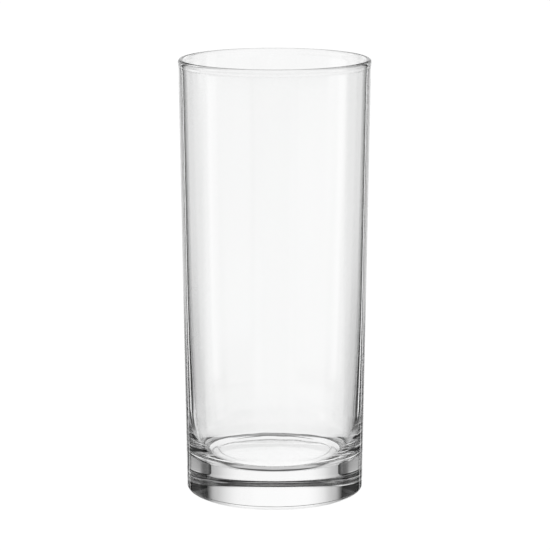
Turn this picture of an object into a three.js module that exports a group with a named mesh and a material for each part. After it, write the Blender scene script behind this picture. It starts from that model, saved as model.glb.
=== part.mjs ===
// Collins glass: a tall, plain tumbler with a slight taper, a thin wall, a rounded rim
// and a thick solid base. Millimetres, +Z up, origin at the centre of the ring it stands on.
// The whole glass is turned about Z, so each piece is one outline of radius and height, revolved.
import * as THREE from 'three';

// Outside
const height = 150;
const rimRadius = 32.5; // outer face of the wall, carried straight up to the rim's height
const footRadius = 30.2; // outer face of the wall, carried straight down to the table
const heelWidth = 4.5; // round between the wall and the underside, measured along the table
const heelHeight = 3.2; // the same round, measured up the wall
const bearingWidth = 1.5; // flat ring under the base, which meets the table
const recessDepth = 0.8; // shallow flat recess under the base, inside that ring
const recessBevel = 0.8; // width of the slope from the ring up into the recess

// Inside
const floorHeight = 12.05; // inner floor above the table
const stepRadius = 17.9; // middle of the low step round the floor
const stepWidth = 1.2; // width of that step's slope
const stepRise = 0.2; // from the floor up to the ledge outside the step
const ledgeRadius = 20.9; // outer edge of the ledge, where the sweep up to the wall starts
const sweepAngle = THREE.MathUtils.degToRad(33); // slope at which the sweep leaves the ledge
const sweepPull = 5.6; // how far it holds to that slope before it turns
const wallPull = 8.1; // how far its upper end holds to the wall
const cornerHeight = 19.2; // top of the sweep above the floor
const footThickness = 2.55; // wall at the top of the sweep
const flareHeight = 40; // stretch above the sweep in which the wall thins out
const midThickness = 1.92; // wall at the top of that stretch
const topThickness = 1.65; // wall just below the bead

// Rim
const beadHeight = 3; // from the wall's top edge to the crest
const beadThickness = 2; // full round of the crest
const beadOverhang = 0.17; // how far the bead stands out from the wall's outer face

// Facets
const turnSteps = 72;
const curveSteps = 8;
const heelSteps = 6;
const beadSteps = 4;

const glassColour = 0xeef2f1;
const glassOpacity = 0.35;

// Heights where one zone of the glass meets the next
const wallFoot = floorHeight + cornerHeight;
const flareTop = wallFoot + flareHeight;
const wallTop = height - beadHeight;

// Radius of the outer face at a height
function outerRadius(z) {
  return THREE.MathUtils.lerp(footRadius, rimRadius, z / height);
}

// Radius of the inner face at a height above the flare, where the wall thins steadily.
// Carried on below the flare's top, it is the line that the flare leaves.
function innerRadius(z) {
  const share = (z - flareTop) / (wallTop - flareTop);
  return outerRadius(z) - THREE.MathUtils.lerp(midThickness, topThickness, share);
}

const footInner = new THREE.Vector2(outerRadius(wallFoot) - footThickness, wallFoot);
const flareMiddle = (wallFoot + flareTop) / 2;
const flareCorner = new THREE.Vector2(innerRadius(flareMiddle), flareMiddle);

// The solid that an outline of (radius, height) points sweeps round Z
function revolve(points) {
  const geometry = new THREE.LatheGeometry(points, turnSteps);
  return geometry.rotateX(Math.PI / 2);
}

function glassPiece(name, points) {
  const material = new THREE.MeshStandardMaterial({
    color: glassColour,
    roughness: 0.04,
    metalness: 0,
    transparent: true,
    opacity: glassOpacity,
  });
  const mesh = new THREE.Mesh(revolve(points), material);
  mesh.name = name;
  return mesh;
}

// Thick solid base: recessed underside, bearing ring, rounded heel, sweep, ledge, low step and floor
function heavyBase() {
  const ringOuter = outerRadius(heelHeight) - heelWidth;
  const ringInner = ringOuter - bearingWidth;
  const heel = new THREE.EllipseCurve(ringOuter, heelHeight, heelWidth, heelHeight, -Math.PI / 2, 0);

  const ledgeHeight = floorHeight + stepRise;
  const ledgeEdge = new THREE.Vector2(ledgeRadius, ledgeHeight);
  const lead = new THREE.Vector2(Math.cos(sweepAngle), Math.sin(sweepAngle));
  const rise = flareCorner.clone().sub(footInner).normalize();
  const sweep = new THREE.CubicBezierCurve(
    footInner,
    footInner.clone().addScaledVector(rise, -wallPull),
    ledgeEdge.clone().addScaledVector(lead, sweepPull),
    ledgeEdge,
  );

  return glassPiece('heavy_base', [
    new THREE.Vector2(0, recessDepth),
    new THREE.Vector2(ringInner - recessBevel, recessDepth),
    new THREE.Vector2(ringInner, 0),
    ...heel.getPoints(heelSteps),
    new THREE.Vector2(outerRadius(wallFoot), wallFoot),
    ...sweep.getPoints(curveSteps),
    new THREE.Vector2(stepRadius + stepWidth / 2, ledgeHeight),
    new THREE.Vector2(stepRadius - stepWidth / 2, floorHeight),
    new THREE.Vector2(0, floorHeight),
  ]);
}

// Thin tapered wall, flaring inwards where it stands on the base
function sideWall() {
  const flareEnd = new THREE.Vector2(innerRadius(flareTop), flareTop);
  const flare = new THREE.QuadraticBezierCurve(flareEnd, flareCorner, footInner);
  const outerFoot = new THREE.Vector2(outerRadius(wallFoot), wallFoot);

  return glassPiece('side_wall', [
    outerFoot,
    new THREE.Vector2(outerRadius(wallTop), wallTop),
    new THREE.Vector2(innerRadius(wallTop), wallTop),
    ...flare.getPoints(curveSteps),
    outerFoot,
  ]);
}

// Rounded rim, a little thicker than the wall on both faces
function rimBead() {
  const crestRadius = beadThickness / 2;
  const crest = new THREE.Vector2(rimRadius + beadOverhang - crestRadius, height - crestRadius);
  const outerFoot = new THREE.Vector2(outerRadius(wallTop), wallTop);
  const innerFoot = new THREE.Vector2(innerRadius(wallTop), wallTop);
  const swell = (wallTop + crest.y) / 2;

  const outline = new THREE.Path();
  outline.moveTo(outerFoot.x, outerFoot.y);
  outline.bezierCurveTo(
    outerFoot.x, swell,
    crest.x + crestRadius, swell,
    crest.x + crestRadius, crest.y,
  );
  outline.absarc(crest.x, crest.y, crestRadius, 0, Math.PI);
  outline.bezierCurveTo(
    crest.x - crestRadius, swell,
    innerFoot.x, swell,
    innerFoot.x, innerFoot.y,
  );
  outline.lineTo(outerFoot.x, outerFoot.y);
  return glassPiece('rim_bead', outline.getPoints(beadSteps));
}

const glass = new THREE.Group();
glass.add(heavyBase(), sideWall(), rimBead());

export default glass;
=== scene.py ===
# %% [markdown]
# A collins glass: a tall, plain tumbler of clear glass with a slight taper, a thin wall, a rounded
# rim and a thick solid base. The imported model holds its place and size. This script adds what the
# eye sees: one smooth skin of glass, the light that shows its edges, and a camera.

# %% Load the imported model
import math

import bpy
import numpy as np
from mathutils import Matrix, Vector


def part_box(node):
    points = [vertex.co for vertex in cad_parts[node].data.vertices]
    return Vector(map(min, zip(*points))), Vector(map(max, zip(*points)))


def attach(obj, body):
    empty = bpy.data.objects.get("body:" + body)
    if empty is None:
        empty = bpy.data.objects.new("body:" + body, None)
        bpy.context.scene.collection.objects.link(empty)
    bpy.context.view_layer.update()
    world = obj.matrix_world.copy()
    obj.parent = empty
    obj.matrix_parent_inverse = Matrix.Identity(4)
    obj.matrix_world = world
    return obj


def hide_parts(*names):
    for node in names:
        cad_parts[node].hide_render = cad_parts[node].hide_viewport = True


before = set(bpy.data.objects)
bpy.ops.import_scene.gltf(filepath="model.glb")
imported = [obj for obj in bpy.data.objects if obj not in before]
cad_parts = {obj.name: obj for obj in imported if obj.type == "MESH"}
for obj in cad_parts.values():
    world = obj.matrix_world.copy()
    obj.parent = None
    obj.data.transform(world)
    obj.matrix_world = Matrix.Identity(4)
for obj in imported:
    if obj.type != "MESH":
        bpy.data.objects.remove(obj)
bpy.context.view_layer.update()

scene = bpy.context.scene
MM = 0.001
print("packed nodes:", sorted(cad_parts))

# %% [markdown]
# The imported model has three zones, base, wall and bead, because each has its own job. A real
# glass is one melt with no line between them, and glass shows every inner face, so three touching
# solids would show two false joints. The zones are therefore drawn here as one closed skin.
#
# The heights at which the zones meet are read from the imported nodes. All other sizes of the glass
# are in millimetres, in the cell that first needs them. The outer face, the wall and the rim are
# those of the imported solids. The base follows the real glass more closely than they do: its inner
# corner is tighter, its heel lower and its recess shallower.

# %% Heights of the zones
wall_low, wall_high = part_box("side_wall")
rim_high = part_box("rim_bead")[1]
wall_foot, wall_top = wall_low[2] / MM, wall_high[2] / MM
height = rim_high[2] / MM
print("zones meet at", round(wall_foot, 2), "and", round(wall_top, 2), "mm")
print("height", round(height, 2), "mm")

# %% [markdown]
# The wall has two faces, each a plain taper. Their radii could be typed in at a few heights. As
# functions of height they let every other stretch start exactly on the face that it leaves.

# %% Faces of the wall
foot_radius, rim_radius = 30.2, 32.5       # outer face, carried straight to the table and crest
flare_height = 40.0                        # stretch above the base in which the wall thins out
mid_thickness, top_thickness = 1.92, 1.65  # wall above that stretch, and just below the rim
flare_top = wall_foot + flare_height
taper = (rim_radius - foot_radius) / height


def outer_radius(z):
    """Radius of the outer face: a straight taper from the foot to the rim."""
    return foot_radius + taper * z


def inner_radius(z):
    """Radius of the inner face above the flare: the outer radius less a wall that thins evenly."""
    share = (z - flare_top) / (wall_top - flare_top)
    return outer_radius(z) - (mid_thickness + (top_thickness - mid_thickness) * share)


print("wall thins out up to", round(flare_top, 2), "mm, taper", round(taper, 4))

# %% [markdown]
# A turned shape needs only half of its section. Each stretch of it is a straight line, part of an
# ellipse or a curve pulled by handles, given as an array of radius and height. The stretches
# follow each other from the middle of the underside, up the outside, over the rim, and down the
# inside to the middle of the floor. A drawn curve object would do for most things. Light bends at
# the slope of a surface, so here the stretches are sampled finely and meet with the same slope
# wherever the real glass has no edge.

# %% Curves for the section
def line(start, end, count):
    """Points on a straight line: start plus a share, from 0 to 1, of the way to the end."""
    share = np.linspace(0, 1, count)[:, None]
    return np.asarray(start) + share * (np.asarray(end) - np.asarray(start))


def round_part(centre, radii, first, last, count):
    """Points on an ellipse: centre plus radii times (cosine, sine) of angles, first to last."""
    angle = np.linspace(first, last, count)[:, None]
    return np.asarray(centre) + np.asarray(radii) * np.hstack([np.cos(angle), np.sin(angle)])


def pulled(handles, count):
    """Points on a curve from the first handle to the last, pulled towards those between.

    At t, from 0 to 1, handle k of 0 to n counts by C(n, k) t^k (1 - t)^(n - k).
    """
    t = np.linspace(0, 1, count)[:, None]
    n = len(handles) - 1
    weights = np.hstack([math.comb(n, k) * t ** k * (1 - t) ** (n - k) for k in range(n + 1)])
    return weights @ np.array(handles, float)


print("curves for the section are ready")

# %% [markdown]
# The glass stands on a narrow flat ring, so that it doesn't rock, with a shallow recess inside the
# ring. The heel outside the ring could be a quarter of an ellipse. It is cut off a little earlier,
# where its slope is that of the taper, so that it runs into the outer face without an edge.

# %% Underside and outside
heel_width, heel_height = 4.5, 2.6         # round between the outer face and the underside
bearing_width = 0.6                        # flat ring that stands on the table
recess_depth, recess_bevel = 0.32, 1.4     # flat recess inside the ring, and the slope into it

heel_end = -math.atan(taper * heel_height / heel_width)
heel_top = heel_height * (1 + math.sin(heel_end))
ring_outer = outer_radius(heel_top) - heel_width * math.cos(heel_end)
ring_inner = ring_outer - bearing_width
recess_edge = ring_inner - recess_bevel
bevel_middle = (recess_edge + ring_inner) / 2

recess = line((0, recess_depth), (recess_edge, recess_depth), count=12)
bevel = pulled([recess[-1], (bevel_middle, recess_depth), (bevel_middle, 0), (ring_inner, 0)],
               count=14)
bearing = line((ring_inner, 0), (ring_outer, 0), count=4)
heel = round_part((ring_outer, heel_height), (heel_width, heel_height),
                  first=-math.pi / 2, last=heel_end, count=26)
outside = line(heel[-1], (outer_radius(wall_top), wall_top), count=24)
print("bearing ring from radius", round(ring_inner, 2), "to", round(ring_outer, 2), "mm")

# %% [markdown]
# The rim is melted round in a flame, which draws it into a bead a little thicker than the wall. A
# ring laid on the wall would leave two creases. Here the crest is half a circle, and a curve with
# upright ends leads into it on each side.

# %% Rim
bead_thickness, bead_overhang = 2.0, 0.17  # full round of the crest, and how far it stands out
crest_radius = bead_thickness / 2
crest_outer = rim_radius + bead_overhang
crest_inner = crest_outer - bead_thickness
crest_height = height - crest_radius
swell = (wall_top + crest_height) / 2
outer_top, inner_top = outer_radius(wall_top), inner_radius(wall_top)

rim_out = pulled([(outer_top, wall_top), (outer_top, swell),
                  (crest_outer, swell), (crest_outer, crest_height)], count=12)
crest = round_part((crest_outer - crest_radius, crest_height), (crest_radius, crest_radius),
                   first=0, last=math.pi, count=24)
rim_in = pulled([(crest_inner, crest_height), (crest_inner, swell),
                 (inner_top, swell), (inner_top, wall_top)], count=12)
print("rim", bead_thickness, "mm thick, crest at", round(float(crest[:, 1].max()), 2), "mm")

# %% [markdown]
# Inside, the wall thickens towards the base in a flare, and a sweep turns it in towards the floor.
# A plain round between wall and floor would be simpler. The real corner is steep at the wall and
# shallow at the floor, and that is what draws the bright and dark bands round the floor, so the
# sweep is a curve with one handle along the wall and one along its own slope at the ledge.

# %% Inside of the wall
foot_thickness = 2.65                      # wall at the top of the sweep
floor_height, step_rise = 12.8, 0.2        # inner floor above the table, and the low step on it
ledge_radius, ledge_soft = 23.4, 0.5       # where the ledge turns up, and how softly
sweep_angle = math.radians(34)             # slope at which the sweep leaves the ledge
sweep_pull, wall_pull = 4.0, 12.0          # how far it holds to that slope, and to the wall

flare_end = np.array([inner_radius(flare_top), flare_top])
flare_middle = (wall_foot + flare_top) / 2
flare_corner = np.array([inner_radius(flare_middle), flare_middle])
sweep_top = np.array([outer_radius(wall_foot) - foot_thickness, wall_foot])
ledge_edge = np.array([ledge_radius, floor_height + step_rise])
down_wall = (sweep_top - flare_corner) / np.linalg.norm(sweep_top - flare_corner)
lead = np.array([math.cos(sweep_angle), math.sin(sweep_angle)])

inside = line((inner_top, wall_top), flare_end, count=18)
flare = pulled([flare_end, flare_corner, sweep_top], count=20)
sweep = pulled([sweep_top, sweep_top + wall_pull * down_wall,
                ledge_edge + sweep_pull * lead, ledge_edge], count=70)
sweep = sweep[np.linalg.norm(sweep - ledge_edge, axis=1) > ledge_soft]
ledge_turn = pulled([sweep[-1], ledge_edge, ledge_edge - [ledge_soft, 0]], count=14)
print("sweep from", np.round(sweep[0], 2).tolist(), "to", np.round(sweep[-1], 2).tolist(), "mm")

# %% [markdown]
# The floor is flat, with a low step round it that the end of the plunger leaves. The step could be
# two corners, but hot glass has none, so it is a smooth rise with radius. Points lie close
# together near the step and far apart in the flat middle.

# %% Floor of the glass
step_radius, step_soft = 19.9, 0.35        # middle of the step, and the softness of its slope
fine_end = step_radius - 2                 # radius inside which the floor is flat
floor_radius = np.concatenate([np.linspace(ledge_turn[-1, 0], fine_end, 56),
                               np.linspace(fine_end, 0, 12)[1:]])
step = 0.5 + 0.5 * np.tanh((floor_radius - step_radius) / step_soft)
floor_line = np.stack([floor_radius, floor_height + step_rise * step], 1)

outer_parts = [recess, bevel, bearing, heel, outside, rim_out, crest, rim_in, inside]
inner_parts = [flare, sweep, ledge_turn, floor_line]
section = np.concatenate([recess] + [part[1:] for part in outer_parts[1:] + inner_parts])
first_inner = sum(len(part) - 1 for part in outer_parts)
print("section of", len(section), "points, flare from point", first_inner)

# %% [markdown]
# A plunger leaves slight waves in hot glass near the floor. They could be a bump in the material,
# but they bend light through the whole base, so they are part of the shape. The waves move each
# point along the section's own normal, by up to two hundredths of a millimetre. They are cosines
# with a whole number of turns, so they close up round the axis. They fade out up the wall, and the
# floor inside the ledge has none.

# %% Waves of the inner corner
wave_start, wave_rise = 1.0, 0.2           # start and growth, as shares of the ledge's radius
wave_reach = 17.0                          # height above the floor over which they fade


def waves(angle, z):
    """Sum of cosines of (whole number * angle + number * height + phase), each with its size."""
    table = np.array([
        [9, 0.55, 0.4, 0.006],
        [14, -0.80, 2.1, 0.005],
        [23, 0.95, 4.0, 0.005],
        [37, -0.35, 1.2, 0.003],
    ])
    around, along, phase, size = table.T[:, :, None, None]
    return (size * np.cos(around * angle + along * z + phase)).sum(0)


def wave_share(r, z):
    """Share of the waves: a rise outside the ledge's radius, times a bell curve of the height."""
    rise = np.clip(r / ledge_radius - wave_start, 0, wave_rise) / wave_rise
    return rise * np.exp(-((z - floor_height) / wave_reach) ** 2)


print("waves at the ledge's height:", round(float(waves(0.0, floor_height)[0, 0]), 4), "mm")

# %% [markdown]
# The skin is the section carried round the axis. It could be made with a Screw modifier, but a
# grid of points worked out at once closes exactly at both poles and takes the waves along.

# %% Turn the section
def even_angles(turns):
    """Angles from 0 up to a full turn, as one row."""
    return np.linspace(0, 2 * np.pi, turns, endpoint=False)[None, :]


def around_axis(r, z, turns):
    """Points (r sin a, -r cos a, z), ring after ring, at even angles a."""
    r, z, angle = np.broadcast_arrays(r, z, even_angles(turns))
    return np.stack([r * np.sin(angle), -r * np.cos(angle), z], 2).reshape(-1, 3)


def wavy_skin(turns):
    """Rings of the section, each point moved along its normal by the waves, then both poles."""
    slope = np.gradient(section, axis=0)
    normal = np.stack([slope[:, 1], -slope[:, 0]], 1) / np.linalg.norm(slope, axis=1)[:, None]
    share = np.zeros(len(section))
    share[first_inner:] = wave_share(*section[first_inner:].T)
    lift = share[1:-1, None] * waves(even_angles(turns), section[1:-1, 1:2])
    r = section[1:-1, 0:1] + normal[1:-1, 0:1] * lift
    z = section[1:-1, 1:2] + normal[1:-1, 1:2] * lift
    poles = np.array([[0, 0, section[0, 1]], [0, 0, section[-1, 1]]])
    return np.concatenate([around_axis(r, z, turns), poles]) * MM


TURNS = 288
skin_points = wavy_skin(TURNS)
print("skin of", len(skin_points), "points")

# %% Faces of a turned shape
def ring_quads(rows, turns):
    """Quads between neighbouring rings, where point j of ring k has the number k * turns + j."""
    ring = np.arange(rows - 1)[:, None] * turns
    here = np.arange(turns)
    after = (here + 1) % turns
    corners = [ring + here, ring + after, ring + turns + after, ring + turns + here]
    return np.stack(corners, 2).reshape(-1, 4)


def pole_fan(pole, ring, turns):
    """Triangles from a pole to each edge of the ring whose first point has the number ring."""
    here = np.arange(turns)
    return np.stack([np.full(turns, pole), ring + here, ring + (here + 1) % turns], 1)


skin_rows = len(section) - 2
under_pole, floor_pole = skin_rows * TURNS, skin_rows * TURNS + 1
skin_faces = (ring_quads(skin_rows, TURNS).tolist()
              + pole_fan(under_pole, 0, TURNS)[:, ::-1].tolist()
              + pole_fan(floor_pole, (skin_rows - 1) * TURNS, TURNS).tolist())
print("skin of", len(skin_faces), "faces")

# %% Glass skin
def new_piece(name, points, faces):
    """A new smooth mesh object at the origin, linked to the scene."""
    mesh = bpy.data.meshes.new(name)
    mesh.from_pydata(points.tolist(), [], faces)
    mesh.shade_smooth()
    piece = bpy.data.objects.new(name, mesh)
    scene.collection.objects.link(piece)
    return piece


glass = new_piece("glass_skin", skin_points, skin_faces)
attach(glass, "root")
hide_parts("heavy_base", "side_wall", "rim_bead")
print("glass skin:", len(glass.data.vertices), "points,", len(glass.data.polygons), "faces")

# %% [markdown]
# Shader trees are easier to read as sums than as boxes and wires. A small class holds one socket,
# and its operators add the Math nodes that the sum needs. Every other node comes from one method.

# %% Sums of sockets
class Wire:
    """One output socket of a node tree. Arithmetic on it adds Math nodes to the same tree."""

    def __init__(self, tree, socket=None):
        self.tree, self.socket = tree, socket

    def node(self, kind, settings, sockets, output=0):
        """A new node's output: settings come first, then values or wires for its sockets."""
        made = self.tree.nodes.new(kind)
        for name, value in settings.items():
            setattr(made, name, value)
        for name, value in sockets.items():
            if isinstance(value, Wire):
                self.tree.links.new(value.socket, made.inputs[name])
            else:
                made.inputs[name].default_value = value
        return Wire(self.tree, made.outputs[output] if len(made.outputs) else None)

    def math(self, operation, *values):
        """The output of a Math node that works on the values."""
        return self.node("ShaderNodeMath", {"operation": operation}, dict(enumerate(values)))

    def __add__(self, other):
        return self.math("ADD", self, other)

    def __sub__(self, other):
        return self.math("SUBTRACT", self, other)

    def __rsub__(self, other):
        return self.math("SUBTRACT", other, self)

    def __mul__(self, other):
        return self.math("MULTIPLY", self, other)

    def __abs__(self):
        return self.math("ABSOLUTE", self)

    __radd__, __rmul__ = __add__, __mul__


print("sums of sockets are ready")

# %% [markdown]
# The finish is polished soda-lime glass. It is clear, so nearly all of its look is what it bends
# and mirrors. A mix of glossy and refracting shaders could give that, but a transmissive
# Principled shader with the index of real glass keeps the two in balance by itself. Real glass
# is never perfectly even: it has a breath of colour that comes and goes, fine handling marks
# that scatter a little, and a faint swell left by the mould. These three read Object
# coordinates.

# %% Glass finish
def empty_tree(owner):
    """The cleared node tree of a material or a world, as a wire for new nodes to start from."""
    owner.use_nodes = True
    owner.node_tree.nodes.clear()
    return Wire(owner.node_tree)


def rises(value, at, half_width):
    """0 below at - half_width and 1 above at + half_width, with a smooth step between."""
    return value.node("ShaderNodeMapRange", {"interpolation_type": "SMOOTHSTEP"}, {
        "Value": value, "From Min": at - half_width, "From Max": at + half_width})


finish = bpy.data.materials.new("clear_glass")
start = empty_tree(finish)
place = start.node("ShaderNodeTexCoord", {}, {}, "Object")


def patches(scale, detail):
    """Noise from 0 to 1 over the glass, with about that many patches to the metre."""
    return start.node("ShaderNodeTexNoise", {}, {
        "Vector": place, "Scale": scale, "Detail": detail}, "Fac")


breath = start.node("ShaderNodeMix", {"data_type": "RGBA"}, {
    "Factor": patches(scale=45.0, detail=2.0),
    "A": (0.992, 0.995, 0.994, 1),
    "B": (1, 1, 1, 1),
}, "Result")
mark_roughness = 0.002
marks = rises(patches(scale=900.0, detail=4.0), 0.6, 0.12)
swell_height = 0.0000003                   # metres
swell_bump = start.node("ShaderNodeBump", {}, {
    "Strength": 1.0,
    "Distance": swell_height,
    "Height": patches(scale=70.0, detail=1.0),
}, "Normal")

shader = start.node("ShaderNodeBsdfPrincipled", {}, {
    "Base Color": breath,
    "Roughness": mark_roughness * marks,
    "IOR": 1.52,
    "Transmission Weight": 1.0,
    "Normal": swell_bump,
})
start.node("ShaderNodeOutputMaterial", {}, {"Surface": shader})
glass.data.materials.append(finish)
print("glass finish:", len(finish.node_tree.nodes), "nodes")

# %% [markdown]
# Clear glass is photographed against a bright field: a white panel behind it, and darkness beside
# the panel. The middle of the glass then shows the panel, and its edges, which bend the view
# sideways, show the darkness as crisp lines. Lamps and cards would do it. A world whose brightness
# depends on direction does the same with fewer parts, and has no noise.
#
# Each direction has two angles: how far it is turned from straight behind the glass, and how far
# it is above level. Most cards come in pairs, one on each side, so they need only the size of
# the turn.

# %% Directions
DEGREES = 180 / math.pi
world = bpy.data.worlds.new("bright_field")
world.cycles.sampling_method = "NONE"
scene.world = world
start = empty_tree(world)
direction = start.node("ShaderNodeTexCoord", {}, {}, "Generated")


def component(vector, axis):
    """The X, Y or Z of a vector."""
    return vector.node("ShaderNodeSeparateXYZ", {}, {"Vector": vector}, axis)


across, away = component(direction, "X"), component(direction, "Y")
turned = start.math("ARCTAN2", across, away) * DEGREES
aside = abs(turned)
above = start.math("ARCSINE", component(direction, "Z")) * DEGREES
print("directions:", len(world.node_tree.nodes), "nodes")

# %% [markdown]
# The table is light, except for a painted shadow of the glass on it under the foot. The wall of the
# room beside the panel is dim. A narrow strip light between panel and wall draws the white line
# along each side of the glass. Soft boxes and the front of the room light it from the sides and the
# front. The room above is dark. Five fills on one side only are there for other views, and lie
# where the main view hardly sees them.

# %% Cards and fills
# Columns: left and right edge, lower and upper edge, softness sideways and upwards, brightness.
# The first six are in degrees. Later rows cover earlier ones.
cards = [
    (-9, 190, -95, -26, 1, 6, 0.60),       # table
    (-9, 50, -95, -26, 8, 6, 0.70),        # table behind the glass
    # painted shadow: the table is darkened where the glass's foot would shade it
    (-9, 60, -82, -50, 8, 5, 0.10),        # dark foot of the glass on the table
    (38, 76, -26, -4, 2, 2, 0.14),         # wall of the room beside the panel
    (54, 68, -26, -4, 12, 2, 0.40),        # lighter part of that wall
    (46, 66, -12, -4, 3, 1.5, 0.70),       # its upper part
    (80, 98, -18, -5, 2, 1.5, 0.92),       # soft box at the side
    (98, 150, -16, -5, 2, 1.5, 0.60),      # light part of the room
    (150, 190, -24, -5, 8, 4, 0.62),       # front of the room
    (27, 31, -20, 2, 0.6, 2, 1.25),        # strip light beside the panel
]
fills = [
    (-66, -38, -34, -18, 3, 2, 0.95),      # behind on the left, low
    (-106, -74, -9, 4, 4, 2, 0.90),        # at the left, level
    (108, 162, -22, -9, 4, 2, 0.80),       # in front on the right, low
    (-66, -38, 18, 34, 3, 2, 0.85),        # behind on the left, high
    (118, 152, 9, 20, 4, 3, 0.45),         # in front on the right, high
]
print(len(cards), "cards on both sides and", len(fills), "fills on one side")

# %% Bright field
def between(low, high, share):
    """low where the share is 0, high where it is 1."""
    return low + (high - low) * share


def within(value, low, high, soft):
    """1 between low and high, 0 outside, with a smooth step of half width soft at each end."""
    return rises(value, low, soft) * (1 - rises(value, high, soft))


dark_room = 0.003
light = dark_room
for angle, rows in ((aside, cards), (turned, fills)):
    for left, right, low, high, soft_aside, soft_above, level in rows:
        card = within(angle, left, right, soft_aside) * within(above, low, high, soft_above)
        light = between(light, level, card)

field = start.node("ShaderNodeBackground", {}, {"Color": light, "Strength": 1.0})
start.node("ShaderNodeOutputWorld", {}, {"Surface": field})
print("bright field:", len(world.node_tree.nodes), "nodes")

# %% [markdown]
# The panel itself stands close behind the glass, so its edges lie at a different angle for each
# side of the glass. A far-off world can't give that, so the panel is a real sheet. It reaches
# below the foot, as it does behind a clear table. Only the glass shows it, because the camera
# doesn't see it directly.

# %% White panel
panel_distance, sheet_half = 0.185, 0.15   # metres behind the axis, and to each side
panel_low, panel_high = -0.25, 0.26        # metres
corners = [(-1, panel_low), (1, panel_low), (1, panel_high), (-1, panel_high)]
panel_points = np.array([(side * sheet_half, panel_distance, z) for side, z in corners])
panel = new_piece("white_panel", panel_points, [(0, 1, 2, 3)])
for ray in ("camera", "diffuse", "volume_scatter", "shadow"):
    setattr(panel, "visible_" + ray, False)
print("white panel:", round(panel_high - panel_low, 3), "m high")

# %% [markdown]
# The silk over the panel glows, dims towards its sides and fades out at the top. Its side edges
# are crisp low down, where the base shows them as clean upright lines, and soft above, where the
# wall would turn a crisp edge into a hard stripe. A lamp can't be shaped that way, so the glow is
# mixed with clear by a mask.

# %% Panel silk
glow_half = 0.105                          # half of the glow's width, metres
crisp, soft = 0.0015, 0.014                # half width of its side edges, low down and above
soften_at, soften_half = 0.01, 0.02        # height at which they turn soft
edge_shift = 0.6                           # share of that half width by which they move outwards
top_fade = 0.03                            # half of the fade at the top
dim_at, dim_half = 0.076, 0.041            # where the glow dims towards its sides
dim_share = 0.62                           # how much it dims

silk = bpy.data.materials.new("panel_silk")
start = empty_tree(silk)
place = start.node("ShaderNodeTexCoord", {}, {}, "Object")
off_middle, level = abs(component(place, "X")), component(place, "Z")
edge = between(crisp, soft, rises(level, soften_at, soften_half))
inside_edge = 1 - rises(off_middle, glow_half - crisp + edge * edge_shift, edge)
below_top = 1 - rises(level, panel_high - top_fade, top_fade)

bright = 1.0 - dim_share * rises(off_middle, dim_at, dim_half)
glow = start.node("ShaderNodeEmission", {}, {"Color": bright, "Strength": 1.0})
clear = start.node("ShaderNodeBsdfTransparent", {}, {})
faded = start.node("ShaderNodeMixShader", {}, {0: inside_edge * below_top, 1: clear, 2: glow})
start.node("ShaderNodeOutputMaterial", {}, {"Surface": faded})
panel.data.materials.append(silk)
print("panel silk:", glow_half * 2, "m wide,", len(silk.node_tree.nodes), "nodes")

# %% [markdown]
# The floor of the studio is a plain white sweep: a flat disc that curves up into a wall far away,
# so that no edge or horizon shows from any side. A plane would end in a line. The sweep glows
# evenly, as an overexposed one does, and only the camera sees it, because the bright field already
# holds the light that the glass bends.

# %% White sweep
flat, bend, wall = 3.0, 1.0, 2.0           # metres: radius of the disc, the curve, and the wall
hole = 0.05                                # radius of the innermost ring
SWEEP_TURNS = 96


def sweep_section(flat_count, bend_count):
    """Radius and height of a flat disc, a quarter circle that turns up, and a straight wall."""
    turn = np.linspace(0, np.pi / 2, bend_count)[1:]
    r = np.concatenate([np.linspace(hole, flat, flat_count), flat + bend * np.sin(turn),
                        [flat + bend]])
    z = np.concatenate([np.zeros(flat_count), bend * (1 - np.cos(turn)), [bend + wall]])
    return r[:, None], z[:, None]


sweep_r, sweep_z = sweep_section(flat_count=12, bend_count=24)
sweep_rings = around_axis(sweep_r, sweep_z, SWEEP_TURNS)
sweep_faces = (ring_quads(len(sweep_r), SWEEP_TURNS)[:, ::-1].tolist()
               + pole_fan(len(sweep_rings), 0, SWEEP_TURNS).tolist())
backdrop = new_piece("white_sweep", np.concatenate([sweep_rings, [[0, 0, 0]]]), sweep_faces)
for ray in ("diffuse", "glossy", "transmission", "volume_scatter", "shadow"):
    setattr(backdrop, "visible_" + ray, False)
print("white sweep:", len(backdrop.data.polygons), "faces")

# %% White paper
paper_glow = 1.02                          # a little over white
paper = bpy.data.materials.new("white_paper")
start = empty_tree(paper)
glow = start.node("ShaderNodeEmission", {}, {"Color": (1, 1, 1, 1), "Strength": paper_glow})
start.node("ShaderNodeOutputMaterial", {}, {"Surface": glow})
backdrop.data.materials.append(paper)
print("white paper glows at", paper_glow)

# %% [markdown]
# The camera stands about a metre away and looks down at nearly eleven degrees with a long lens, so
# the wall's taper is real and not perspective. A short lens close by would show more of the inside
# and make the foot look narrow.

# %% Camera
picture_width, lens_length = 550, 2974     # both in pixels of the picture
look_down = 10.82                          # degrees
eye = bpy.data.cameras.new("camera")
eye.sensor_width = 36.0
eye.lens = eye.sensor_width * lens_length / picture_width
camera = bpy.data.objects.new("camera", eye)
camera.location = (0.0001, -0.9984, 0.2665)
camera.rotation_euler = (math.radians(90 - look_down), 0, 0)
scene.collection.objects.link(camera)
bpy.context.scene.camera = camera
print("lens", round(eye.lens, 1), "mm")

# %% [markdown]
# Glass needs many bounces, since light crosses eight or more faces in the base. The denoiser works
# from the picture alone, because what it would learn of the glass's own colour says nothing about
# what is seen through it. The plain view transform keeps white paper white.

# %% Picture
most_bounces = 32
cycles = scene.cycles
cycles.max_bounces = cycles.transmission_bounces = cycles.glossy_bounces = most_bounces
cycles.use_denoising = True
cycles.denoiser = "OPENIMAGEDENOISE"
cycles.denoising_input_passes = "RGB"
cycles.filter_width = 1.5
scene.view_settings.view_transform = "Standard"
print("light may bounce", cycles.max_bounces, "times")

# %% The end
bpy.context.view_layer.update()
